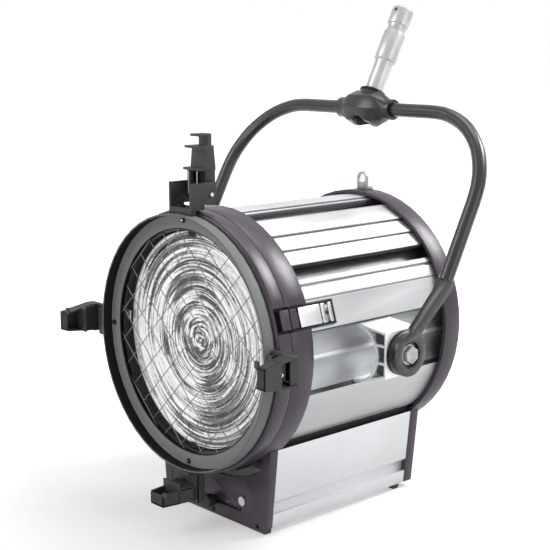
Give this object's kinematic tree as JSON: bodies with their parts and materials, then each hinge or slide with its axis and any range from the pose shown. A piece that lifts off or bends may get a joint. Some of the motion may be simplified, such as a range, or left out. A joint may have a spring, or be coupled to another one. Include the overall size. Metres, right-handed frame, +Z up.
{
  "type": "tungsten fresnel light",
  "caption": "Round tungsten fresnel light for stage and film: stepped lens behind a wire guard, finned aluminium body on a shallow base, tilting yoke with a spigot, and a sliding lamp carriage.",
  "frame": {"origin": "centre of the base plate's underside, straight below the tilt axis", "axes": "+Z up, light shines along -Y, +X to the side of the door catch"},
  "size_m": [0.454, 0.4265, 0.611],
  "materials": {
    "aubergine_paint": "satin, dark aubergine",
    "black_paint": "satin, soft black",
    "black_trim": "matte black",
    "bare_aluminium": "anodised, satin",
    "bright_steel": "bright",
    "mirror_reflector": "polished",
    "lens_glass": "clear, stepped",
    "ceramic": "white ceramic",
    "rubber": "dark",
    "tungsten": "fine wire"
  },
  "bodies": {
    "head": {"front_casting": "aubergine_paint", "hinge_pin": "bright_steel", "rear_casting": "aubergine_paint", "rear_cover": "black_paint", "top_panel": "bare_aluminium", "shoulder_panel_right": "bare_aluminium", "shoulder_panel_left": "bare_aluminium", "side_panel_right": "bare_aluminium", "side_panel_left": "bare_aluminium", "heat_shield": "bright_steel", "catch_channel": "black_trim", "catch_spring": "bright_steel", "base_side_panel_right": "bare_aluminium", "base_side_panel_left": "bare_aluminium", "base_front_casting": "aubergine_paint", "base_rear_casting": "aubergine_paint", "base_plate": "bare_aluminium", "foot_front_right": "rubber", "foot_rear_right": "rubber", "foot_front_left": "rubber", "foot_rear_left": "rubber", "guide_rod_right": "bright_steel", "guide_rod_left": "bright_steel", "cable_gland": "black_trim", "safety_eye": "bright_steel", "tilt_bracket_right": "bare_aluminium", "tilt_bracket_left": "bare_aluminium", "friction_disc_right": "black_trim", "friction_disc_left": "black_trim", "pivot_bolt": "bright_steel"},
    "door": {"lens_door": "aubergine_paint", "lens": "lens_glass", "lens_retainer": "black_trim", "accessory_ring": "black_paint", "wire_guard": "bright_steel", "ear_right": "black_paint", "ear_bottom": "black_paint", "ear_left": "black_paint", "latch_bracket": "black_paint", "latch_pin": "bright_steel", "catch_keeper": "aubergine_paint"},
    "flap": {"latch_flap": "black_paint"},
    "catch": {"catch_slider": "bare_aluminium"},
    "yoke": {"yoke_tube": "black_paint", "yoke_eye_right": "black_paint", "yoke_eye_left": "black_paint", "spigot_clamp": "black_paint", "spigot": "bare_aluminium"},
    "tilt_lock": {"tilt_lock_lever": "black_paint"},
    "carriage": {"lamp_carriage": "bare_aluminium", "lamp_holder": "ceramic", "lamp_base": "ceramic", "lamp_globe": "lens_glass", "lamp_filament": "tungsten", "reflector": "mirror_reflector", "reflector_strap": "bright_steel"},
    "focus": {"focus_lever": "black_paint"}
  },
  "joints": [
    {"name": "yoke_tilt", "type": "hinge", "parent": "head", "child": "yoke", "pos_m": [0, 0, 0.21], "axis": [1, 0, 0], "range_deg": [-80, 40]},
    {"name": "tilt_lock_turn", "type": "hinge", "parent": "head", "child": "tilt_lock", "pos_m": [-0.2, 0, 0.21], "axis": [1, 0, 0], "range_deg": [-30, 30]},
    {"name": "door_hinge", "type": "hinge", "parent": "head", "child": "door", "pos_m": [-0.1622, -0.13605, 0.214], "axis": [0, 0, -1], "range_deg": [0, 110]},
    {"name": "flap_fold", "type": "hinge", "parent": "door", "child": "flap", "pos_m": [0, -0.1367, 0.3866], "axis": [1, 0, 0], "range_deg": [0, 90]},
    {"name": "catch_slide", "type": "slide", "parent": "head", "child": "catch", "axis": [0, 1, 0], "range_m": [0, 0.0044]},
    {"name": "carriage_slide", "type": "slide", "parent": "head", "child": "carriage", "axis": [0, 1, 0], "range_m": [-0.044, 0.044]},
    {"name": "focus_slide", "type": "slide", "parent": "head", "child": "focus", "axis": [1, 0, 0], "range_m": [-0.044, 0.044]}
  ],
  "couplings": [
    {"joint": "focus_slide", "follows": "carriage_slide", "ratio": 1}
  ]
}
